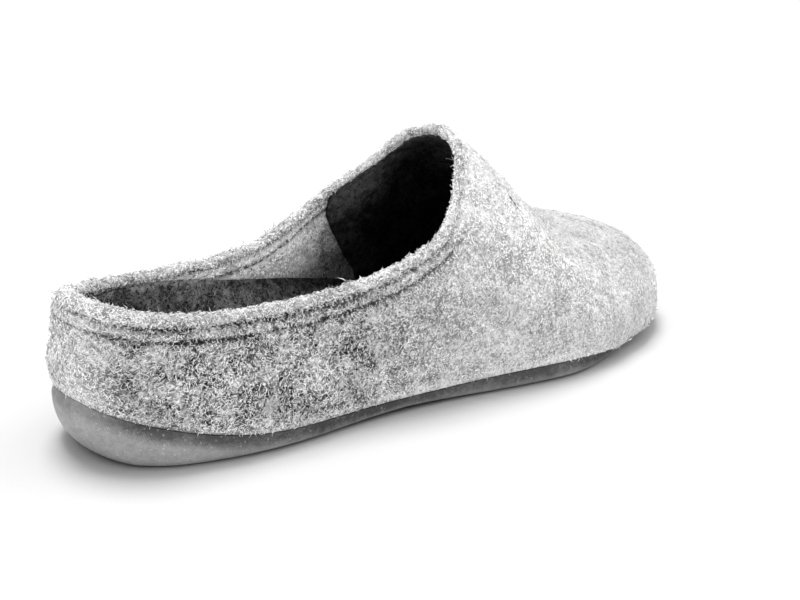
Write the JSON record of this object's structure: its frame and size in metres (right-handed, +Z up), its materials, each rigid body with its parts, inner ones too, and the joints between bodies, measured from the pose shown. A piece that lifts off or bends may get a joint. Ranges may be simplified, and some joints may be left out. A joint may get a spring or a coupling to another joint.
{
  "type": "slipper",
  "caption": "Low felt house slipper with closed toe, high vamp, low wall round the heel, dished felt insole and a rubber sole that turns up at the heel.",
  "frame": {"origin": "centre of the footprint's bounding box, on the floor that the sole stands on", "axes": "+X from heel to toe, +Y to the wearer's left, which is the inner side of this right shoe, +Z up"},
  "size_m": [0.271, 0.0956, 0.0962],
  "materials": {
    "sole_rubber": "matt grey moulded rubber with fine light flecks",
    "insole_felt": "dark grey marled felt",
    "upper_felt": "light grey marled wool felt with short loose fibres"
  },
  "bodies": {
    "root": {"outsole": "sole_rubber", "insole": "insole_felt", "upper": "upper_felt"}
  },
  "joints": []
}
